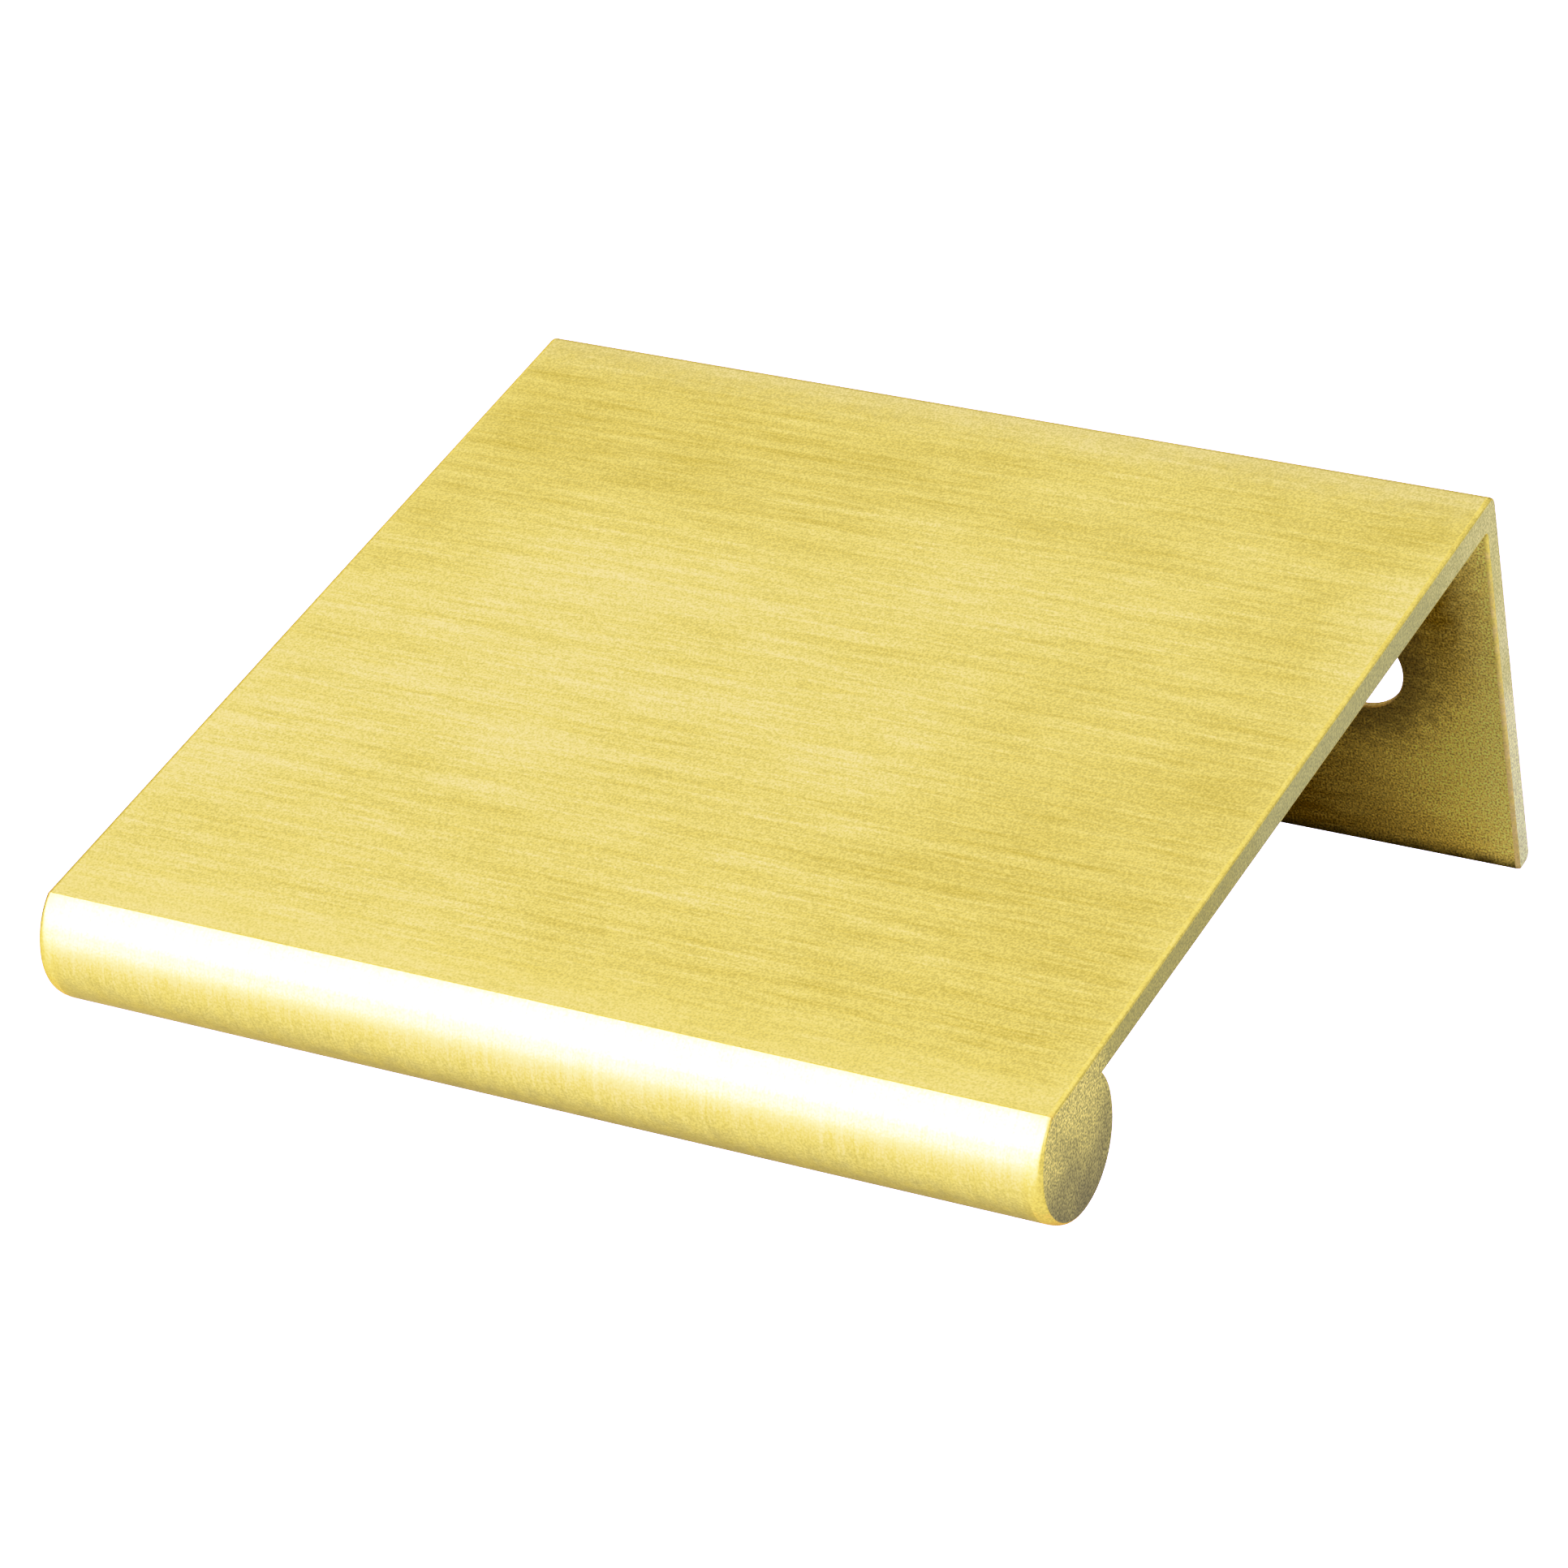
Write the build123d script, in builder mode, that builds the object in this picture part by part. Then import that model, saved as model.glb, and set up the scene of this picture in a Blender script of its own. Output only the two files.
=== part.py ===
from build123d import *
import os
from math import radians, sqrt, tan

# Edge pull for a drawer or cabinet front, made in one piece of metal with one section.
# A flat finger plate lies on the top edge of the front. A round bead runs along the plate's
# free edge, and a flange with two countersunk screw holes turns down behind the front.
# Millimetres. X runs along the pull, +Y points into the cabinet and +Z up.
# The origin lies midway between the two holes, on the flange's seat against the front.

# Driving dimensions of the section
depth = 43.8                 # from the flange's back face to the foremost line of the bead
height = 19.2                # from the plate's top to the flange's lower edge
plate_thickness = 1.35       # where the plate meets the flange
plate_lip_thickness = 1.1    # where the plate's underside runs into the bead
flange_thickness = 1.1
bead_radius = 3.1
crown_cut = 0.4              # how much of the bead's crown the plate's top cuts off

# Length and screw holes
hole_spacing = 32.0
hole_to_end = 6.75           # from each hole's centre to the nearer end
hole_height = 9.6            # hole centres above the flange's lower edge
hole_radius = 2.1            # clears a 4 mm wood screw
hole_land = 0.3              # straight wall left in front of each countersink
countersink_angle = 90       # whole angle of the cone for the screw's flat head

# Rounded edges
back_corner_radius = 0.5     # outside corner between plate and flange
inner_corner_radius = 0.2    # inside corner between plate and flange
flange_edge_radius = 0.2     # the flange's lower edge, front and back
end_edge_radius = 0.25       # every edge around the two ends

# Places that follow from them
length = hole_spacing + 2 * hole_to_end
seat_y = 0
back_y = seat_y + flange_thickness
flange_bottom = -hole_height
plate_top = flange_bottom + height
inner_corner_z = plate_top - plate_thickness
bead_y = back_y - depth + bead_radius
bead_z = plate_top + crown_cut - bead_radius
lip_z = plate_top - plate_lip_thickness


def bead_half_breadth(z):
    """Half of the bead's breadth, along Y, at a height."""
    return sqrt(bead_radius**2 - (z - bead_z) ** 2)


# The plate's top cuts the crown off the bead, so it meets the round at a crisp seam.
seam = (bead_y - bead_half_breadth(plate_top), plate_top)
lip = (bead_y + bead_half_breadth(lip_z), lip_z)
bead_lowest = (bead_y, bead_z - bead_radius)

# The cone is cut from the flange's back face and stops at the land.
countersink_depth = flange_thickness - hole_land
countersink_radius = hole_radius + countersink_depth * tan(radians(countersink_angle / 2))

os.makedirs("parts", exist_ok=True)

with BuildPart() as edge_pull:
    # Section seen along the pull: in the sketch, X is the part's Y and Y is its Z
    with BuildSketch(Plane.YZ) as section:
        with BuildLine():
            Line((back_y, plate_top), seam)
            ThreePointArc(seam, bead_lowest, lip)
            Polyline(
                lip,
                (seat_y, inner_corner_z),
                (seat_y, flange_bottom),
                (back_y, flange_bottom),
                (back_y, plate_top),
            )
        make_face()
        back_corner = section.vertices().group_by(Axis.Y)[-1].sort_by(Axis.X)[-1]
        fillet(back_corner, radius=back_corner_radius)
        fillet(section.vertices().group_by(Axis.Y)[0], radius=flange_edge_radius)
        at_inner_corner = section.vertices().sort_by_distance((seat_y, inner_corner_z))[0]
        fillet(at_inner_corner, radius=inner_corner_radius)
    extrude(amount=length / 2, both=True)

    # Two holes on a level line, each countersunk from the flange's back face
    with Locations(Plane((0, back_y, 0), x_dir=(1, 0, 0), z_dir=(0, 1, 0))):
        with GridLocations(hole_spacing, 0, 2, 1):
            CounterSinkHole(
                radius=hole_radius,
                counter_sink_radius=countersink_radius,
                counter_sink_angle=countersink_angle,
            )

    # The same small round follows the whole outline of both ends.
    ends = edge_pull.faces().filter_by(Axis.X)
    fillet(ends.edges(), radius=end_edge_radius)

edge_pull.part.label = "edge_pull"
export_step(edge_pull.part, "parts/edge_pull.step")
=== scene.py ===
# %% [markdown]
# # Brushed edge pull
# This pull hooks over the top edge of a drawer front. It is one length of metal with one
# section: a finger plate, a round bead along its free edge and a screw flange behind the front.
# The solid model is loaded first and stays fixed, in metres, with the holes' middle at the origin.

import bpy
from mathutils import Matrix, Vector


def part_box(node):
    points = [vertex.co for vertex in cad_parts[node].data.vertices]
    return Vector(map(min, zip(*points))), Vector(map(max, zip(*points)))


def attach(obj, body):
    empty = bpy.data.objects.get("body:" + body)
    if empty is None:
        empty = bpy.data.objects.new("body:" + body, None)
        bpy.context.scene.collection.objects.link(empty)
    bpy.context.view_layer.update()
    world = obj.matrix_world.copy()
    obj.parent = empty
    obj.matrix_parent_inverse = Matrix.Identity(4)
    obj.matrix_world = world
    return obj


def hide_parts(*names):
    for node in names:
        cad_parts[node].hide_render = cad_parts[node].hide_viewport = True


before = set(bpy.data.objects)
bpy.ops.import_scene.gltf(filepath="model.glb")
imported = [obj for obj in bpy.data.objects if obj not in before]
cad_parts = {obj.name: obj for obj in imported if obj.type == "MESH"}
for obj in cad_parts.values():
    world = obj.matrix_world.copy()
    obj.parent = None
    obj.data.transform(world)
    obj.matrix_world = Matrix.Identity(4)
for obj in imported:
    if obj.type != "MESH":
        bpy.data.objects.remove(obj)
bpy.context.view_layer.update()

# %% [markdown]
# ## Sizes
# The dressed mesh has to lie where the solid does, so its box gives the outer sizes. The walls
# and rounds are small next to them and are named here, each once. Only the smallest rounds differ
# from the solid's: on the real pull the bead's rims and the flange's foot are worn rounder than
# the plate's thin edges.

# %% Sizes of the section
from math import asin, cos, pi, radians, sin

import bmesh
import bpy
from mathutils import Quaternion, Vector

MM = 0.001
low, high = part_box("edge_pull")
half_length = high.x
seat_y, back_y, front_y = 0.0, high.y, low.y
flange_bottom, plate_top = low.z, high.z

plate_thickness = 1.35 * MM
plate_lip_thickness = 1.1 * MM
bead_radius = 3.1 * MM
crown_cut = 0.4 * MM
back_corner_radius = 0.5 * MM
inner_corner_radius = 0.2 * MM
foot_front_radius = 0.2 * MM
foot_back_radius = 0.45 * MM
hole_spacing = 32 * MM
hole_radius = 2.1 * MM
hole_land = 0.3 * MM
hole_edge_break = 0.06 * MM

# How far a rim draws in, and how far back from the end that begins
plate_end_round = (0.1 * MM, 0.2 * MM)
bead_end_round = (0.2 * MM, 0.6 * MM)

bead_y = front_y + bead_radius
bead_z = plate_top + crown_cut - bead_radius
inner_z = plate_top - plate_thickness
print("length", 2 * half_length / MM, "mm, bead's centre", round(bead_y / MM, 3),
      round(bead_z / MM, 3), "mm")

# %% [markdown]
# ## The section's outline
# An extruded bar is its section swept in a straight line. To round the ends as well, each end
# gets a few copies of the outline, every one drawn further in than the last. So the outline is a
# function of how far it is drawn in. Arcs are cut finely where light will run along them.

# %% Outline of the section, drawn in by an amount
BEAD_STEPS = 144
CORNER_STEPS = 8
NEAR_BEAD = [0.25, 0.5, 0.5, 0.5, 0.5, 0.5]      # millimetres between points beside the bead


def arc(centre, radius, start, end, steps):
    """Points on an arc in the section's plane, both ends included, angles in radians."""
    turn = (end - start) / steps
    return [
        (centre[0] + radius * cos(start + turn * i), centre[1] + radius * sin(start + turn * i))
        for i in range(steps + 1)
    ]


def outline(inset):
    """The section's (y, z) points, anticlockwise from the seam, drawn in by inset."""
    radius = bead_radius - inset
    top = plate_top - inset
    lip_z = plate_top - plate_lip_thickness + inset
    seam_angle = pi - asin((top - bead_z) / radius)
    lip_angle = 2 * pi + asin((lip_z - bead_z) / radius)
    bead = arc((bead_y, bead_z), radius, seam_angle, lip_angle, BEAD_STEPS)
    lip_y = bead[-1][0]
    seam_y = bead[0][0]
    fillet = inner_corner_radius + inset
    slope = (inner_z + inset - lip_z) / (seat_y - lip_y)
    under = []
    top_line = []
    run = 0.0
    for step in NEAR_BEAD:
        run += step * MM
        under.append((lip_y + run, lip_z + slope * run))
        top_line.insert(0, (seam_y + run, top))
    inner = arc(
        (seat_y - inner_corner_radius, inner_z - inner_corner_radius),
        fillet, pi / 2, 0, CORNER_STEPS,
    )
    front_edge = arc(
        (seat_y + foot_front_radius, flange_bottom + foot_front_radius),
        foot_front_radius - inset, pi, 1.5 * pi, CORNER_STEPS,
    )
    back_edge = arc(
        (back_y - foot_back_radius, flange_bottom + foot_back_radius),
        foot_back_radius - inset, 1.5 * pi, 2 * pi, CORNER_STEPS,
    )
    corner = arc(
        (back_y - back_corner_radius, plate_top - back_corner_radius),
        back_corner_radius - inset, 0, pi / 2, CORNER_STEPS,
    )
    return bead + under + inner + front_edge + back_edge + corner + top_line


section = outline(0)
lip_index = BEAD_STEPS
seat_index = lip_index + len(NEAR_BEAD) + CORNER_STEPS + 1      # where the seat begins, at the top
back_index = seat_index + 2 * (CORNER_STEPS + 1)                # where the back begins, at the foot
print(len(section), "points around the section")

# %% [markdown]
# ## Rounded ends
# Where the outline is drawn in, the ring also moves out along X, so the rings follow a quarter of
# an ellipse. Polishing has drawn the bead's rims out into a longer, flatter round than the
# plate's. The round changes slowly around the bead, away from the seam and the lip, so the two
# roundings flow into each other with no step.

# %% Rings of points from end to end
RIM_STEPS = 10
BEAD_SWEEP = radians(272)           # about how far the bead's arc turns
BLEND_ANGLE = radians(50)           # the turn over which one rounding becomes the other


def smooth(t):
    """A soft step from 0 to 1."""
    t = min(max(t, 0.0), 1.0)
    return t * t * (3 - 2 * t)


def end_round(index):
    """How far the end's round draws in and runs back at a point of the outline."""
    if index > lip_index:
        return plate_end_round
    share = index / BEAD_STEPS
    from_ends = min(share, 1 - share) * BEAD_SWEEP
    part = smooth(from_ends / BLEND_ANGLE)
    sizes = zip(plate_end_round, bead_end_round)
    return [at_plate + (at_bead - at_plate) * part for at_plate, at_bead in sizes]


rounds = [end_round(i) for i in range(len(section))]


def ring(step, side):
    """One ring: step 0 lies on the long surfaces and step RIM_STEPS on the end face."""
    angle = step / RIM_STEPS * pi / 2
    points = []
    for index, (draw_in, run_back) in enumerate(rounds):
        y, z = outline(draw_in * (1 - cos(angle)))[index]
        points.append((side * (half_length - run_back * (1 - sin(angle))), y, z))
    return points


rings = [ring(step, -1) for step in range(RIM_STEPS, -1, -1)]
rings += [ring(step, 1) for step in range(RIM_STEPS + 1)]
print(len(rings), "rings")

# %% [markdown]
# ## Skin
# Neighbouring rings are joined by four-sided faces, and each face gets the number of its finish.
# The last ring at each end is closed by one flat face. The two flat sides of the flange stay open
# for now, because the screw holes go through them.

# %% Join the rings
PLATE, BEAD, INNER, CUT, ROUND, HOLE = range(6)      # a face that gets no number is PLATE

bm = bmesh.new()
grid = [[bm.verts.new(point) for point in points] for points in rings]
count = len(section)
middle = RIM_STEPS
open_runs = {seat_index, back_index}
for k in range(len(grid) - 1):
    for i in range(count):
        if k == middle and i in open_runs:
            continue
        j = (i + 1) % count
        face = bm.faces.new((grid[k][i], grid[k][j], grid[k + 1][j], grid[k + 1][i]))
        if k != middle:
            face.material_index = ROUND
        elif i < lip_index:
            face.material_index = BEAD
        elif i <= seat_index + CORNER_STEPS:
            face.material_index = INNER
for end in (grid[0], list(reversed(grid[-1]))):
    bm.faces.new(end).material_index = CUT
print(len(bm.faces), "faces before the screw holes")

# %% [markdown]
# ## Screw holes
# Each hole runs straight for a short land and then opens into the countersink at the back, where
# the screw's head goes. A boolean would leave long slivers in the flat faces. Instead, rings of
# points are joined into the hole's wall, and the open flats are filled around the outer rings.

# %% Screw holes
HOLE_STEPS = 72

# A cone of 90 degrees widens as fast as it deepens.
countersink_radius = hole_radius + (back_y - seat_y) - hole_land
hole_profile = [
    (hole_radius + hole_edge_break, seat_y),
    (hole_radius, seat_y + hole_edge_break),
    (hole_radius, seat_y + hole_land),
    (countersink_radius - hole_edge_break, back_y - hole_edge_break),
    (countersink_radius + hole_edge_break / 2, back_y),
]


def circle(x, radius, y):
    """A ring of vertices around a hole's axis, which runs along Y."""
    turn = 2 * pi / HOLE_STEPS
    return [
        bm.verts.new((x + radius * cos(turn * i), y, radius * sin(turn * i)))
        for i in range(HOLE_STEPS)
    ]


def loop_edges(verts):
    """The closed run of edges through these vertices, made where it is missing."""
    pairs = zip(verts, verts[1:] + verts[:1])
    return [bm.edges.get(pair) or bm.edges.new(pair) for pair in pairs]


fronts, backs = [], []
for x in (-hole_spacing / 2, hole_spacing / 2):
    loops = [circle(x, radius, y) for radius, y in hole_profile]
    for outer, inner in zip(loops, loops[1:]):
        for i in range(HOLE_STEPS):
            j = (i + 1) % HOLE_STEPS
            bm.faces.new((outer[i], inner[i], inner[j], outer[j])).material_index = HOLE
    fronts += loop_edges(loops[0])
    backs += loop_edges(loops[-1])
for index, rims, finish in ((seat_index, fronts, INNER), (back_index, backs, PLATE)):
    corners = [grid[middle][index], grid[middle][index + 1],
               grid[middle + 1][index + 1], grid[middle + 1][index]]
    filled = bmesh.ops.triangle_fill(bm, use_beauty=True, edges=loop_edges(corners) + rims)
    for piece in filled["geom"]:
        if isinstance(piece, bmesh.types.BMFace):
            piece.material_index = finish
bmesh.ops.recalc_face_normals(bm, faces=bm.faces)
mesh = bpy.data.meshes.new("brushed_pull")
bm.to_mesh(mesh)
bm.free()
print(len(mesh.vertices), "vertices,", len(mesh.polygons), "faces")

# %% [markdown]
# ## Shading the mesh
# Smooth shading makes the arcs look round. Real creases, such as the seam beside the bead, are
# marked sharp by their angle. The weighted normal modifier then lets the large flat faces decide
# the normals along their borders, so that the flats stay flat right up to the roundings.

# %% Normals and the pull's place on the frame
CREASE = radians(24)

mesh.shade_smooth()
mesh.set_sharp_from_angle(angle=CREASE)
scene = bpy.context.scene
pull = bpy.data.objects.new("brushed_pull", mesh)
scene.collection.objects.link(pull)
weighted = pull.modifiers.new("flat faces stay flat", "WEIGHTED_NORMAL")
weighted.keep_sharp = True
weighted.weight = 100
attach(pull, "root")
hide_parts("edge_pull")

# %% [markdown]
# ## How the metal is painted
# The finish is brushed, so under a lens it is thousands of fine scratches that all run one way.
# No picture is laid on it: each colour and each scratch comes from noise in the mesh's own
# coordinates, stretched along the strokes. First come a few small helpers that place and join
# nodes, so that each effect below takes only a few lines.

# %% Helpers for nodes
def add(tree, kind, inputs=None, **settings):
    """A new node. An input takes a plain value or the output of another node."""
    node = tree.nodes.new(kind)
    for key, value in settings.items():
        setattr(node, key, value)
    for key, value in (inputs or {}).items():
        if isinstance(value, bpy.types.NodeSocket):
            tree.links.new(value, node.inputs[key])
        else:
            node.inputs[key].default_value = value
    return node


def calculate(tree, operation, *terms):
    """The output of one Math node."""
    return add(tree, "ShaderNodeMath", dict(enumerate(terms)), operation=operation).outputs[0]


def vector(tree, operation, *terms):
    """The vector output of one Vector Math node."""
    node = add(tree, "ShaderNodeVectorMath", dict(enumerate(terms)), operation=operation)
    return node.outputs[0]


def scaled(tree, value, factor):
    """A vector or colour times a number."""
    node = add(tree, "ShaderNodeVectorMath", {0: value, "Scale": factor}, operation="SCALE")
    return node.outputs[0]


def length(tree, value):
    """The length of a vector."""
    return add(tree, "ShaderNodeVectorMath", {0: value}, operation="LENGTH").outputs["Value"]


def blend(tree, share, first, second):
    """Two colours mixed by a share from 0 to 1. Sockets 6 and 7 are the Mix node's colours."""
    mixer = add(tree, "ShaderNodeMix", {0: share, 6: first, 7: second}, data_type="RGBA")
    return mixer.outputs[2]


def soft_step(tree, value, start, end):
    """0 at start, 1 at end, and a smooth ramp between them."""
    ramp = {"Value": value, "From Min": start, "From Max": end}
    return add(tree, "ShaderNodeMapRange", ramp, interpolation_type="SMOOTHSTEP").outputs[0]


# %% [markdown]
# ## Noise and node groups
# Blender's noise keeps mostly to the middle of its range, so one helper spreads it out. The other
# helper starts a node group. A group is built once and can then stand in every material, with
# its own values in each, like a stamp that is cut once and used many times.

# %% Helpers for noise and for node groups
NOISE_LOW, NOISE_HIGH = 0.25, 0.75      # raw noise seldom leaves this range


def noise(tree, point, detail):
    """Noise spread out to fill about 0 to 1."""
    raw = add(tree, "ShaderNodeTexNoise",
              {"Vector": point, "Scale": 1.0, "Detail": detail, "Roughness": 0.5}).outputs[0]
    return add(tree, "ShaderNodeMapRange",
               {"Value": raw, "From Min": NOISE_LOW, "From Max": NOISE_HIGH}).outputs[0]


def new_group(name, inputs, outputs):
    """An empty node group: its tree, the inputs seen from inside, and its outputs."""
    tree = bpy.data.node_groups.new(name, "ShaderNodeTree")
    for label, kind, default in inputs:
        socket = tree.interface.new_socket(label, in_out="INPUT", socket_type=kind)
        socket.default_value = default
    for label, kind in outputs:
        tree.interface.new_socket(label, in_out="OUTPUT", socket_type=kind)
    inside = tree.nodes.new("NodeGroupInput").outputs
    return tree, inside, tree.nodes.new("NodeGroupOutput").inputs


NUMBER, VECTOR, COLOUR = "NodeSocketFloat", "NodeSocketVector", "NodeSocketColor"

# %% [markdown]
# ## Brush strokes
# The plate was drawn against an abrasive belt along its length, and the bead was polished around.
# Both are the same effect with other stroke sizes, so it is one node group. It takes a point in
# millimetres and the size of a stroke along each axis. Three noises make it: the strokes, finer
# hairs between them, and wide bands where the belt pressed harder.

# %% Node group: brush strokes
HAIR_FINENESS, HAIR_SHIFT = 2.2, (17.0, 5.0, 9.0)      # a stroke's fineness is 1
BAND_FINENESS, BAND_SHIFT = 0.3, (3.0, 41.0, 8.0)      # the shifts keep the noises from agreeing

brush_strokes, given, result = new_group(
    "brush strokes",
    [("Point", VECTOR, (0, 0, 0)), ("Stroke Size", VECTOR, (3, 0.2, 0.2))],
    [("Strokes", NUMBER), ("Hairs", NUMBER), ("Bands", NUMBER)],
)
stroke_point = vector(brush_strokes, "DIVIDE", given["Point"], given["Stroke Size"])
hair_point = vector(brush_strokes, "MULTIPLY_ADD", stroke_point, (HAIR_FINENESS,) * 3, HAIR_SHIFT)
band_point = vector(brush_strokes, "MULTIPLY_ADD", stroke_point, (BAND_FINENESS,) * 3, BAND_SHIFT)
for name, point, detail in (("Strokes", stroke_point, 1.0), ("Hairs", hair_point, 0.0),
                            ("Bands", band_point, 1.0)):
    brush_strokes.links.new(noise(brush_strokes, point, detail), result[name])
print("node group", brush_strokes.name, "has", len(brush_strokes.nodes), "nodes")

# %% [markdown]
# ## Clouds, grain and ragged borders
# Even a new finish isn't one flat colour. Broad clouds shift it between pale and deep, and a grain
# as fine as dust keeps it from looking painted. The rags are a noise between the two in size, and
# they will break up the borders of worn places. All three are plain noise at different sizes.

# %% Node group: clouds, grain and rags
mottling, given, result = new_group(
    "clouds, grain and rags",
    [("Point", VECTOR, (0, 0, 0)), ("Cloud Size", NUMBER, 9.0), ("Grain Size", NUMBER, 0.09),
     ("Rag Size", NUMBER, 0.6)],
    [("Clouds", NUMBER), ("Grain", NUMBER), ("Rags", NUMBER)],
)
for name, size_name, detail in (("Clouds", "Cloud Size", 1.0), ("Grain", "Grain Size", 0.0),
                                ("Rags", "Rag Size", 1.0)):
    point = scaled(mottling, given["Point"], calculate(mottling, "DIVIDE", 1.0, given[size_name]))
    mottling.links.new(noise(mottling, point, detail), result[name])
print("node group", mottling.name, "has", len(mottling.nodes), "nodes")

# %% [markdown]
# ## Speckle
# Each grain of a brushed or blasted surface tilts a little its own way, and so looks brighter or
# darker than its neighbours. This group brightens and darkens a colour by the grain.

# %% Node group: speckle
speckle, given, result = new_group(
    "speckle",
    [("Colour", COLOUR, (1, 1, 1, 1)), ("Grain", NUMBER, 0.5), ("Amount", NUMBER, 0.2)],
    [("Colour", COLOUR)],
)
swing = calculate(speckle, "SUBTRACT", given["Grain"], 0.5)
factor = calculate(speckle, "MULTIPLY_ADD", swing, given["Amount"], 1.0)
speckle.links.new(scaled(speckle, given["Colour"], factor), result["Colour"])
print("node group", speckle.name, "has", len(speckle.nodes), "nodes")

# %% [markdown]
# ## Where a point lies
# Hands and packing rub some edges, and near other edges light and shade are painted into the
# colour. The section is the same all along the pull, so a point's distance to its edges is plain
# arithmetic: to the ends by X, to the back corner, the seam and the foot by Y and Z, and to a screw
# hole by its distance from the hole's axis. The belly is the bead's lowest line, and the seat edge
# runs up the flange's front, worn less and less towards the plate. The group gives them all in
# millimetres.

# %% Node group: distances
MEASURES = ("To End", "To Seam", "To Back Corner", "To Foot", "To Seat Edge", "To Hole", "To Belly",
            "Behind Bead")
MOST_WORN_AT = -9.0                 # height on the seat edge
WORN_STRETCH = 36.0                 # how much slower the wear fades up the edge than across it

distances, given, result = new_group(
    "distances", [("Point", VECTOR, (0, 0, 0))], [(label, NUMBER) for label in MEASURES],
)
axes = add(distances, "ShaderNodeSeparateXYZ", {0: given["Point"]}).outputs
across = calculate(distances, "ABSOLUTE", axes["X"])
in_section = vector(distances, "MULTIPLY", given["Point"], (0, 1, 1))
for name, (y, z) in (("To Seam", section[0]), ("To Back Corner", (back_y, plate_top)),
                     ("To Foot", (seat_y, flange_bottom))):
    gap = add(distances, "ShaderNodeVectorMath", {0: in_section, 1: (0, y / MM, z / MM)},
              operation="DISTANCE")
    distances.links.new(gap.outputs["Value"], result[name])


def less(value, millimetres):
    """A measure with a fixed length taken off."""
    return calculate(distances, "SUBTRACT", value, millimetres)


def hypotenuse(x, y):
    """How far apart two points are that lie x and y apart."""
    return length(distances, add(distances, "ShaderNodeCombineXYZ", {0: x, 1: y}).outputs[0])


behind = less(axes["Y"], bead_y / MM)
past_bead = calculate(distances, "MAXIMUM", less(behind, bead_radius / MM), 0)
above_belly = less(axes["Z"], (bead_z - bead_radius) / MM)
up_edge = calculate(distances, "DIVIDE", less(axes["Z"], MOST_WORN_AT), WORN_STRETCH)
from_axis = less(across, hole_spacing / 2 / MM)
for name, value in (
    ("To End", calculate(distances, "SUBTRACT", half_length / MM, across)),
    ("To Seat Edge", hypotenuse(axes["Y"], up_edge)),
    ("To Hole", less(hypotenuse(from_axis, axes["Z"]), hole_radius / MM)),
    ("To Belly", hypotenuse(past_bead, above_belly)),
    ("Behind Bead", behind),
):
    distances.links.new(value, result[name])
print("node group", distances.name, "has", len(distances.nodes), "nodes")

# %% [markdown]
# ## Wear and painted shade along an edge
# This group turns a distance into a mask: 1 on the edge and 0 beyond the given width, with its
# border broken up by the rags so that it doesn't look drawn with a ruler. The same mask lays both
# real wear and painted shade and light.

# %% Node group: edge wear and painted shade
wear_and_shade_mask, given, result = new_group(
    "edge wear and shade",
    [("Distance", NUMBER, 1.0), ("Width", NUMBER, 1.0), ("Rags", NUMBER, 0.5),
     ("Raggedness", NUMBER, 0.5)],
    [("Tint Share", NUMBER)],
)
push = calculate(wear_and_shade_mask, "MULTIPLY", calculate(wear_and_shade_mask, "SUBTRACT", given["Rags"], 0.5),
                 given["Raggedness"])
reach = calculate(wear_and_shade_mask, "ADD",
                  calculate(wear_and_shade_mask, "DIVIDE", given["Distance"], given["Width"]), push)
wear_and_shade_mask.links.new(soft_step(wear_and_shade_mask, reach, 1.0, 0.0), result["Tint Share"])
print("node group", wear_and_shade_mask.name, "has", len(wear_and_shade_mask.nodes), "nodes")

# %% [markdown]
# ## Starting a material
# Every material here starts the same way: its point in millimetres, the mottling and distances at
# that point, and a colour with stains, painted shade and painted light laid over it. These helpers
# keep the materials short.

# %% Helpers for materials
def start_material(name, **sizes):
    """A material, its tree and shader, the point in millimetres, its mottling and distances."""
    material = bpy.data.materials.new(name)
    material.use_nodes = True
    tree = material.node_tree
    place = add(tree, "ShaderNodeTexCoord").outputs["Object"]
    point = scaled(tree, place, 1 / MM)
    mottle = add(tree, "ShaderNodeGroup", {"Point": point, **sizes}, node_tree=mottling).outputs
    to = add(tree, "ShaderNodeGroup", {"Point": point}, node_tree=distances).outputs
    return material, tree, tree.nodes["Principled BSDF"], point, mottle, to


def weighted_sum(tree, start, *terms):
    """start + the sum of share * (value - 0.5), each value running from 0 to 1."""
    total = start
    for value, share in terms:
        total = calculate(tree, "MULTIPLY_ADD", value, share,
                          calculate(tree, "SUBTRACT", total, share / 2))
    return total


def lay_tints_and_shade(tree, colour, mottle, to, stains_and_shade):
    """Tints laid over a colour near the edges: (edge, width, raggedness, strength, tint)."""
    for edge, width, raggedness, strength, tint in stains_and_shade:
        tint_share = add(tree, "ShaderNodeGroup", {
            "Distance": to[edge], "Width": width, "Rags": mottle["Rags"], "Raggedness": raggedness,
        }, node_tree=wear_and_shade_mask).outputs["Tint Share"]
        colour = blend(tree, calculate(tree, "MULTIPLY", tint_share, strength), colour, (*tint, 1))
    return colour


def soft_spot(tree, point, centre, turn, size, least, most):
    """A soft oval spot: most at its centre, least outside it. Its size is its three radii."""
    spot = add(tree, "ShaderNodeMapping", {"Vector": point, "Location": centre,
               "Rotation": (0, 0, turn), "Scale": size}, vector_type="TEXTURE").outputs[0]
    within = soft_step(tree, length(tree, spot), 1.0, 0.0)
    return calculate(tree, "MULTIPLY_ADD", within, most - least, least)


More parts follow.
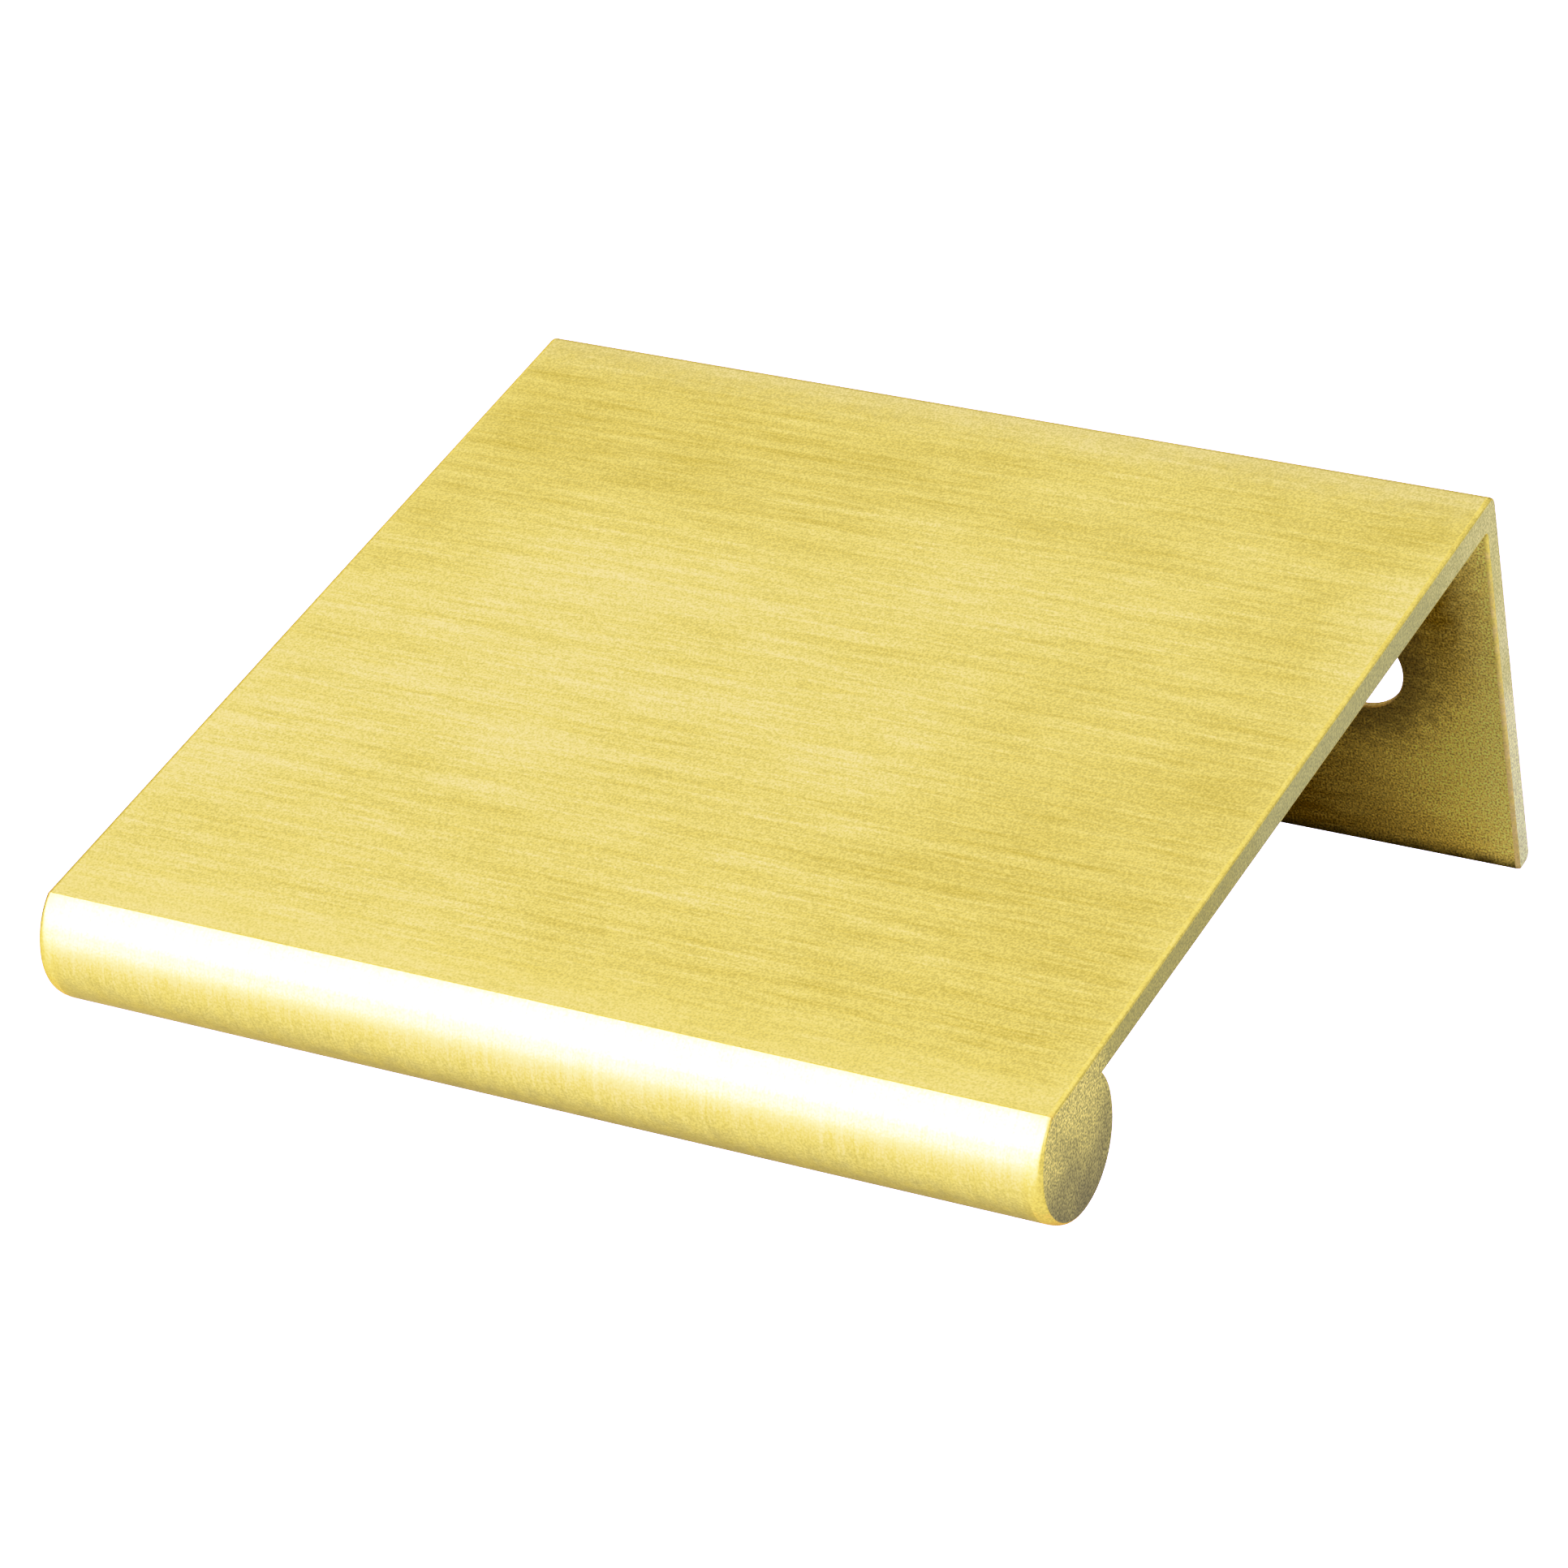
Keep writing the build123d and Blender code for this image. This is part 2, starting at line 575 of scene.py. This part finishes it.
# %% [markdown]
# ## Brushed brass
# One function makes the polished surfaces, since they differ only in their strokes and tones. The
# colour runs from deep to pale with the strokes, the clouds and the grain, the strokes also move
# the roughness, and a Bump node turns them into shallow grooves. Grooves stretch reflections across
# themselves, which is what the anisotropy does; its tangent turns around the X axis. A thin satin
# lacquer, the coat, adds a little white light over the metal's own yellow.

# %% Material: brushed brass
ALONG, AROUND = 0.25, 0.0                    # the strokes' direction, in turns from the tangent
ROUGHER_BY_STROKE, ROUGHER_BY_CLOUD = 0.06, 0.03
HAIR_HEIGHT, GRAIN_HEIGHT = 0.4, 0.28        # a stroke's is 1
ANISOTROPY = 0.4
GLANCING_TINT = (0.9, 0.7, 0.25, 1)
LACQUER_ROUGHNESS = 0.45


def brushed_brass(name, deep, pale, stroke_size, roughness, rotation, tone=0.45, clouds=0.21,
                  strokes=0.34, hairs=0.18, bands=0.26, grain=0.2, sparkle=0.24, groove=0.002,
                  coat=0.4, stains_and_shade=(), **sizes):
    """tone places the colour from deep, 0, to pale, 1. It is a number or a function that makes one.
    Strokes and grooves are in millimetres, and each effect's number says how strong it is."""
    material, tree, shader, point, mottle, to = start_material(name, **sizes)
    brushed = add(tree, "ShaderNodeGroup", {"Point": point, "Stroke Size": stroke_size},
                  node_tree=brush_strokes).outputs
    if callable(tone):
        tone = tone(tree, point)
    share = weighted_sum(tree, tone, (mottle["Clouds"], clouds), (brushed["Bands"], bands),
                         (brushed["Strokes"], strokes), (brushed["Hairs"], hairs),
                         (mottle["Grain"], grain))
    colour = lay_tints_and_shade(tree, blend(tree, share, (*deep, 1), (*pale, 1)), mottle, to, stains_and_shade)
    colour = add(tree, "ShaderNodeGroup",
                 {"Colour": colour, "Grain": mottle["Grain"], "Amount": sparkle},
                 node_tree=speckle).outputs["Colour"]
    tree.links.new(colour, shader.inputs["Base Color"])
    rough = weighted_sum(tree, roughness, (brushed["Strokes"], ROUGHER_BY_STROKE),
                         (mottle["Clouds"], ROUGHER_BY_CLOUD))
    tree.links.new(rough, shader.inputs["Roughness"])
    height = weighted_sum(tree, 0.5, (brushed["Strokes"], 1.0), (brushed["Hairs"], HAIR_HEIGHT),
                          (mottle["Grain"], GRAIN_HEIGHT))
    relief = add(tree, "ShaderNodeBump", {"Height": height, "Distance": groove * MM})
    tree.links.new(relief.outputs["Normal"], shader.inputs["Normal"])
    around = add(tree, "ShaderNodeTangent", direction_type="RADIAL", axis="X")
    tree.links.new(around.outputs["Tangent"], shader.inputs["Tangent"])
    shader.inputs["Anisotropic"].default_value = ANISOTROPY
    shader.inputs["Anisotropic Rotation"].default_value = rotation
    shader.inputs["Metallic"].default_value = 1.0
    shader.inputs["Specular Tint"].default_value = GLANCING_TINT
    shader.inputs["Coat Weight"].default_value = coat
    shader.inputs["Coat Roughness"].default_value = LACQUER_ROUGHNESS
    return material


DEEP_BRASS, PALE_BRASS = (0.62, 0.475, 0.062), (0.905, 0.78, 0.245)
# The dark tint lays painted shade along the foot and darkens the metal around the holes.
PALER_BRASS, DARK_TINT = (0.79, 0.68, 0.26), (0.12, 0.07, 0.015)
# Painted onto the ends of the bead and the roundings, so that the highlight fades before the rims.
HIGHLIGHT_FADE_YELLOW = (0.8, 0.61, 0.09)

# %% [markdown]
# ## The plate and the back
# The plate is the face that everyone sees. It was brushed along its length. Its tone is painted
# light and shade: a painted sheen, palest in a long slanting spot at the front left and pale once
# more at the right end, and a painted shadow that makes it deepest at the back. It is paler along
# the ends, the back corner and the seam. The flange's back takes the same finish, with a painted
# dark line of shade along its foot, and is darker around the countersinks.

# %% Finish of the plate
ANY = 400                           # a radius so long that the spot doesn't end that way


def plate_light_and_shade(tree, point):
    """Painted sheen from two pale spots on the plate, and painted shadow from a spot at its back,
    centres in millimetres.
    """
    main = soft_spot(tree, point, centre=(-14, -24, 9.6), turn=radians(37.5), size=(60, 28, ANY),
                     least=0.38, most=0.77)
    right_end = soft_spot(tree, point, centre=(23, -9, 9.6), turn=0.0, size=(9, 14, ANY),
                          least=0.0, most=0.83)
    painted_shadow = soft_spot(tree, point, centre=(-14, -6, 9.6), turn=0.0, size=(26, 9, ANY),
                       least=0.0, most=0.17)
    return calculate(tree, "SUBTRACT", calculate(tree, "MAXIMUM", main, right_end), painted_shadow)


brushed_plate = brushed_brass(
    "brushed plate", DEEP_BRASS, PALE_BRASS, stroke_size=(4.2, 0.22, 0.22), roughness=0.34,
    rotation=ALONG, tone=plate_light_and_shade,
    stains_and_shade=(("To End", 1.8, 0.3, 0.24, (0.92, 0.785, 0.23)),
            # Paler along the ends, the back corner and the seam.
            ("To Back Corner", 3.4, 0.3, 0.6, PALER_BRASS),
            ("To Seam", 4.2, 0.2, 0.52, (0.9, 0.765, 0.215)),
            ("To Seam", 0.1, 0.0, 0.5, (0.84, 0.62, 0.08)),
            # Painted shade: a dark line along the foot. The metal is also darker around the
            # countersinks.
            ("To Foot", 0.5, 0.3, 0.9, DARK_TINT), ("To Hole", 0.45, 1.0, 0.7, DARK_TINT)),
)

# %% [markdown]
# ## The bead
# The bead was polished around, so its strokes run across the plate's. They are shallower, and the
# highlight stays clean. Its belly is painted duller and greyer, as shade, and towards the ends the
# metal is painted a warmer yellow so that the highlight fades before the rims.

# %% Finish of the bead
brushed_bead = brushed_brass(
    "brushed bead", DEEP_BRASS, PALE_BRASS, stroke_size=(0.12, 3.0, 3.0), roughness=0.32,
    rotation=AROUND, tone=0.515, clouds=0.12, strokes=0.2, hairs=0.14, bands=0.12, grain=0.2,
    sparkle=0.18, groove=0.0014,
    # Painted shade darkens and greys the belly, and a painted warmer yellow at the ends fades the
    # highlight.
    stains_and_shade=(("To Belly", 3.7, 0.2, 0.84, (0.37, 0.33, 0.18)),
            ("To Belly", 2.6, 0.2, 0.4, (0.25, 0.24, 0.15)),
            ("To End", 1.3, 0.3, 0.55, HIGHLIGHT_FADE_YELLOW)),
)

# %% [markdown]
# ## Inside the hook
# The side that lies against the drawer front has light and shade painted into its colour. It is
# painted deepest, as shade, in a wide middle part and where plate and flange meet, and painted
# paler, as light, towards the ends and the bead. A painted dark line of shade runs along its foot,
# and the metal is darker around the holes.

# %% Finish inside the hook
# Painted light: the plate's underside is painted paler towards the bead between these.
PALER_FROM, PALEST_FROM = -1.0, -14.0      # the plate's underside clears between these, along Y


def inner_light_and_shade(tree, point):
    """Painted light: a pale spot at each end of the flange, a faint one at its middle, and a pale
    underside, with painted shade between them.
    """
    axes = add(tree, "ShaderNodeSeparateXYZ", {0: point}).outputs
    mirrored = add(tree, "ShaderNodeCombineXYZ", {
        "X": calculate(tree, "ABSOLUTE", axes["X"]), "Z": axes["Z"]}).outputs[0]
    ends = soft_spot(tree, mirrored, centre=(22, 0, -4.8), turn=0.0, size=(11, ANY, 10),
                     least=0.0, most=1.1)
    middle = soft_spot(tree, mirrored, centre=(0, 0, 0), turn=0.0, size=(13, ANY, ANY),
                       least=0.0, most=0.26)
    underside = soft_step(tree, axes["Y"], PALER_FROM, PALEST_FROM)
    return calculate(tree, "MAXIMUM", calculate(tree, "MAXIMUM", ends, middle), underside)


brushed_inside = brushed_brass(
    # deep is the colour of the painted shade, and pale that of the painted light.
    "brushed inside", deep=(0.215, 0.112, 0.0), pale=(1.0, 0.74, 0.155),
    stroke_size=(3.4, 0.3, 0.3), roughness=0.36, rotation=ALONG, tone=inner_light_and_shade, clouds=0.12,
    strokes=0.16, hairs=0.12, bands=0.1, grain=0.2, sparkle=1.0, coat=0.03,
    # Painted light at the ends, darker around the holes, and a painted dark line of shade along the
    # foot.
    stains_and_shade=(("To End", 2.8, 0.3, 0.95, (1.0, 0.77, 0.2)), ("To Hole", 3.2, 0.5, 0.75, DARK_TINT),
            ("To Foot", 0.9, 0.25, 1.0, (0.05, 0.03, 0.005))),
    **{"Cloud Size": 4.0},
)

# %% [markdown]
# ## Rounded ends and the holes' walls
# The lacquer is thinnest on the roundings. It has gone through there in places and shows a warm
# tone: copper along the seat edge, orange under the bead and beside the seam. Towards the ends the
# roundings are painted a warmer yellow, so that the highlight fades there, and a painted dark line
# of shade runs along the foot. The walls of the holes are a deep brown.

# %% Finish of the roundings and of the holes
COPPER, ORANGE = (0.88, 0.62, 0.34), (0.86, 0.5, 0.12)
rounded_edge = brushed_brass(
    "rounded edge", DEEP_BRASS, PALE_BRASS, stroke_size=(0.5, 0.5, 0.5), roughness=0.34,
    rotation=AROUND, tone=0.65,
    # The warmer yellow at the ends is painted to fade the highlight, and the dark line along the
    # foot is painted shade.
    stains_and_shade=(("To End", 1.3, 0.3, 0.55, HIGHLIGHT_FADE_YELLOW), ("To Seat Edge", 0.6, 0.8, 0.65, COPPER),
            ("To Belly", 2.8, 0.5, 0.9, ORANGE), ("To Seam", 0.6, 1.2, 0.5, ORANGE),
            ("To Foot", 0.4, 0.3, 0.25, DARK_TINT)),
)
hole_wall = brushed_brass(
    "hole wall", deep=(0.18, 0.1, 0.02), pale=(0.55, 0.37, 0.1), stroke_size=(0.3, 2.0, 0.3),
    roughness=0.4, rotation=AROUND,
)

# %% [markdown]
# ## Cut ends
# The bar was cut to length, and the cut faces were blasted dull instead of brushed. They scatter
# light in all directions, look more olive than yellow, and are speckled. So this material is much
# rougher and its pattern has no direction. The bead's face is the most speckled. Light and shade
# are painted into the colour: it is darkest, as painted shade, at the bead's belly, and painted
# paler, as light, towards the flange and down it.

# %% Material: cut end
SPECKLE_ON_BEAD, SPECKLE_BEHIND = 0.95, 0.5
CALMER_FROM, CALM_FROM = 2.5, 4.5            # millimetres behind the bead's centre
WAVINESS = 0.4                               # of a layer's border, next to its width
GRAIN_ROUGHNESS = 0.15
BLAST_DEPTH = 0.003                          # millimetres


def matte_cut(name, olive, roughness, layers):
    """layers are (measure, where it starts, where it is full, colour), each laid on the last."""
    material, tree, shader, _, mottle, to = start_material(name, **{"Cloud Size": 1.6})
    colour = (*olive, 1)
    for measure, start, full, tint in layers:
        wavy = weighted_sum(tree, to[measure], (mottle["Clouds"], WAVINESS * (full - start)))
        colour = blend(tree, soft_step(tree, wavy, start, full), colour, (*tint, 1))
    calmer = soft_step(tree, to["Behind Bead"], CALMER_FROM, CALM_FROM)
    amount = calculate(tree, "MULTIPLY_ADD", calmer, SPECKLE_BEHIND - SPECKLE_ON_BEAD,
                       SPECKLE_ON_BEAD)
    colour = add(tree, "ShaderNodeGroup",
                 {"Colour": colour, "Grain": mottle["Grain"], "Amount": amount},
                 node_tree=speckle).outputs["Colour"]
    tree.links.new(colour, shader.inputs["Base Color"])
    rough = weighted_sum(tree, roughness, (mottle["Grain"], GRAIN_ROUGHNESS))
    tree.links.new(rough, shader.inputs["Roughness"])
    relief = add(tree, "ShaderNodeBump",
                 {"Height": mottle["Grain"], "Distance": BLAST_DEPTH * MM})
    tree.links.new(relief.outputs["Normal"], shader.inputs["Normal"])
    shader.inputs["Metallic"].default_value = 1.0
    return material


cut_end = matte_cut(
    # The olive is painted shade at the bead's belly, and the layers paint light over it: paler away
    # from the belly, towards the back and towards the foot.
    "cut end", olive=(0.265, 0.225, 0.105), roughness=0.58,
    layers=(("To Belly", 0.0, 5.4, (0.7, 0.595, 0.205)),
            ("Behind Bead", 1.5, 4.0, (0.475, 0.415, 0.15)),
            ("Behind Bead", 11.0, 20.0, (0.525, 0.48, 0.215)),
            ("Behind Bead", 31.0, 41.0, (0.7, 0.63, 0.26)),
            ("To Foot", 16.0, 0.0, (0.93, 0.87, 0.48))),
)

# %% [markdown]
# ## Laying the finishes on
# Each face was given a number when it was built. The materials are added in the order of those
# numbers: plate, bead, inside, cut ends, roundings and holes.

# %% Lay the finishes on the mesh
for material in (brushed_plate, brushed_bead, brushed_inside, cut_end, rounded_edge, hole_wall):
    mesh.materials.append(material)
print([material.name for material in mesh.materials])

# %% [markdown]
# ## Camera
# A long lens held close gives the gentle perspective of the picture. The camera looks down from
# the front right, and it is rolled a little, so the pull's long edges fall away to the right.

# %% Camera
azimuth, elevation, roll = radians(34.078), radians(36.172), radians(10.287)
aim = Vector((-1.543, -18.778, 3.473)) * MM
distance = 270.967 * MM
back = Vector((cos(elevation) * sin(azimuth), -cos(elevation) * cos(azimuth), sin(elevation)))

camera_data = bpy.data.cameras.new("camera")
camera_data.sensor_width = 36       # millimetres, like the lens
camera_data.lens = 148.819
camera_data.clip_start = 10 * MM
camera = bpy.data.objects.new("camera", camera_data)
scene.collection.objects.link(camera)
camera.location = aim + back * distance
camera.rotation_mode = "QUATERNION"
camera.rotation_quaternion = back.to_track_quat("Z", "Y") @ Quaternion((0, 0, 1), -roll)
scene.camera = camera
print("the camera stands", round(distance / MM), "mm from the pull")

# %% [markdown]
# ## Floor and surroundings
# The backdrop has to look white, but a floor that bright would flood the metal with light from
# below. So the floor and the sky each have two sides: the camera sees a white glow, while every
# other ray meets a pale grey floor and a dim sky. A Light Path node tells the two apart.

# %% Floor and surroundings
WHITE_GLOW, DIM_SKY = 3.0, 0.4      # strengths
FLOOR_GREY = (0.43, 0.43, 0.43, 1)
FLOOR_SPAN = 6.0                    # metres from the middle to each side
FLOOR_GAP = 0.02 * MM


def bare_tree(owner, output_kind):
    """The owner's node tree with nothing but an output, and the input for its surface."""
    owner.use_nodes = True
    owner.node_tree.nodes.clear()
    return owner.node_tree, add(owner.node_tree, output_kind).inputs["Surface"]


def two_sided(tree, surface, for_camera, for_other_rays):
    """Show one shader to the camera and another to all other rays."""
    by_ray = add(tree, "ShaderNodeLightPath").outputs["Is Camera Ray"]
    mixed = add(tree, "ShaderNodeMixShader", {0: by_ray, 1: for_other_rays, 2: for_camera})
    tree.links.new(mixed.outputs[0], surface)


floor_mesh = bpy.data.meshes.new("floor")
floor_mesh.from_pydata(
    [(x * FLOOR_SPAN, y * FLOOR_SPAN, flange_bottom - FLOOR_GAP)
     for x, y in ((-1, -1), (1, -1), (1, 1), (-1, 1))],
    [], [(0, 1, 2, 3)],
)
floor = bpy.data.objects.new("floor", floor_mesh)
scene.collection.objects.link(floor)
pale_floor = bpy.data.materials.new("pale floor")
tree, surface = bare_tree(pale_floor, "ShaderNodeOutputMaterial")
two_sided(tree, surface,
          add(tree, "ShaderNodeEmission", {"Strength": WHITE_GLOW}).outputs[0],
          add(tree, "ShaderNodeBsdfDiffuse", {"Color": FLOOR_GREY}).outputs[0])
pale_floor.cycles.emission_sampling = "NONE"
floor_mesh.materials.append(pale_floor)

scene.world = bpy.data.worlds.new("studio")
tree, surface = bare_tree(scene.world, "ShaderNodeOutputWorld")
glow, sky = (
    add(tree, "ShaderNodeBackground", {"Color": (1, 1, 1, 1), "Strength": strength}).outputs[0]
    for strength in (WHITE_GLOW, DIM_SKY)
)
two_sided(tree, surface, glow, sky)
scene.world.cycles.sampling_method = "NONE"
print("floor at z =", round((flange_bottom - FLOOR_GAP) / MM, 2), "mm")

# %% [markdown]
# ## Lights
# Polished metal shows what stands around it, so each light is a shape for it to mirror. Four long
# strips in front, one above the other, together draw the bead's wide soft highlight. A softbox
# overhead lights its crown, a panel behind gives the flat plate its even tone, and a low one
# under it catches the rounded back corner. A panel and a strip on the right bring out that end.

# %% Lights
LOOK_AT = Vector((0, -20, 0)) * MM
REACH = 0.8                         # metres from the pull to each light


def softbox(name, turn, height, size, radiance):
    """A flat area light that faces the pull. turn 0 is from +X, 90 from the back, in degrees."""
    turn, height = radians(turn), radians(height)
    away = Vector((cos(height) * cos(turn), cos(height) * sin(turn), sin(height)))
    light = bpy.data.lights.new(name, "AREA")
    light.shape = "RECTANGLE"
    light.size, light.size_y = size
    light.energy = radiance * pi * size[0] * size[1]
    lamp = bpy.data.objects.new(name, light)
    scene.collection.objects.link(lamp)
    lamp.location = LOOK_AT + away * REACH
    lamp.rotation_euler = away.to_track_quat("Z", "Y").to_euler()


FRONT_TURN, STRIP_SIZE = -112, (1.0, 0.16)
FRONT_STRIPS = ((8, 5.7), (29, 11.0), (42, 7.8), (57, 8.3))       # height in degrees, radiance
OTHER_LIGHTS = (                    # name, turn, height, size in metres, radiance
    ("top softbox", 0, 88, (1.0, 1.0), 1.75),
    ("back panel", 124, 36, (0.6, 0.6), 0.57),
    ("low back panel", 124, 4, (0.6, 0.2), 0.5),
    ("back right panel", 40, 40, (1.1, 0.9), 0.35),
    ("side strip", -30, 25, (0.45, 0.3), 2.75),
)
for height, radiance in FRONT_STRIPS:
    softbox(f"front strip at {height} degrees", FRONT_TURN, height, STRIP_SIZE, radiance)
for settings in OTHER_LIGHTS:
    softbox(*settings)
print(len(bpy.data.lights), "lights")

# %% [markdown]
# ## Camera response
# A camera squeezes bright light: near white, the same step in light adds less and less. Brass
# reflects little blue, so its blue is still climbing where red and green have levelled off, and a
# highlight turns from yellow to cream to white. Colour management can do this with one curve for
# each colour channel, laid over the finished picture.

# %% Camera response
BRIGHTEST = 4.0                     # light at the right-hand end of the curves
TOP = 1.01                          # a little over white, so that white stays pure
CEILING = 1.2                       # how high a curve may go
RESPONSE = (                        # light and tone at each point of the red, green and blue curve
    ((0.85, 0.85), (0.95, 0.9), (1.1, 0.945), (1.4, 0.975), (2.2, TOP)),
    ((0.7, 0.7), (0.8, 0.755), (0.95, 0.82), (1.2, 0.88), (1.8, 0.96), (2.6, TOP)),
    ((0.19, 0.19), (0.27, 0.35), (0.42, 0.52), (0.62, 0.76), (0.95, TOP)),
)

view = scene.view_settings
view.view_transform = "Standard"
view.use_curve_mapping = True
mapping = view.curve_mapping
mapping.white_level = (BRIGHTEST,) * 3
mapping.clip_max_y = CEILING
for curve, points in zip(mapping.curves, RESPONSE):
    for light_in, tone_out in points:
        curve.points.new(light_in / BRIGHTEST, tone_out)
    curve.points[-1].location = (1.0, TOP)
    for point in curve.points:
        point.handle_type = "VECTOR"
mapping.update()
print("points on the curves:", [len(curve.points) for curve in mapping.curves])
